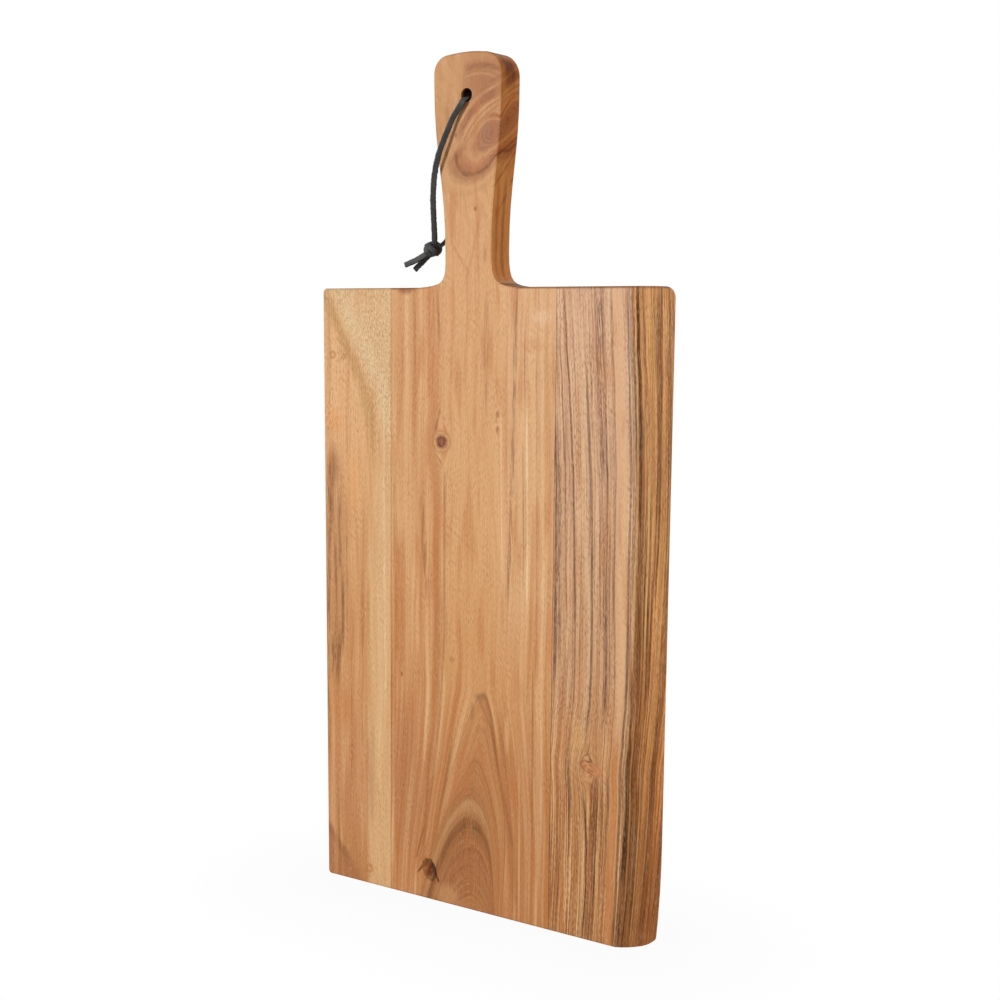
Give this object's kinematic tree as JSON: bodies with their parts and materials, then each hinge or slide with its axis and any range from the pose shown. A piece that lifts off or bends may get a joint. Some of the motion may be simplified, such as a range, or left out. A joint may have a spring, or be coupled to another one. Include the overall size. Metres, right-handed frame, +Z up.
{
  "type": "serving board",
  "caption": "Flat wooden serving board of glued staves with a natural edge, a waisted handle with a drilled hole, and a knotted leather hanging loop.",
  "frame": {"origin": "middle of the board's box at its bottom end, which stands on the surface", "axes": "+X to the right seen from the front, +Y from the front face to the back face, +Z up along the handle"},
  "size_m": [0.2339, 0.0287, 0.5],
  "materials": {
    "sapwood": "oiled satin",
    "heartwood": "oiled satin",
    "striped_wood": "oiled satin",
    "glue": "dried wood glue",
    "lace": "matte black, rough cut edges"
  },
  "bodies": {
    "board": {"left_stave": "sapwood", "centre_stave": "heartwood", "right_stave": "striped_wood", "glue_line_left": "glue", "glue_line_right": "glue"},
    "loop": {"lace_bight": "lace", "lace_front": "lace", "lace_back": "lace", "lace_knot": "lace", "lace_tail_long": "lace", "lace_tail_short": "lace"}
  },
  "joints": [
    {"name": "loop_swing", "type": "hinge", "parent": "board", "child": "loop", "pos_m": [-0.0089, 0, 0.476], "axis": [0, 1, 0], "range_deg": [0, 300]}
  ]
}
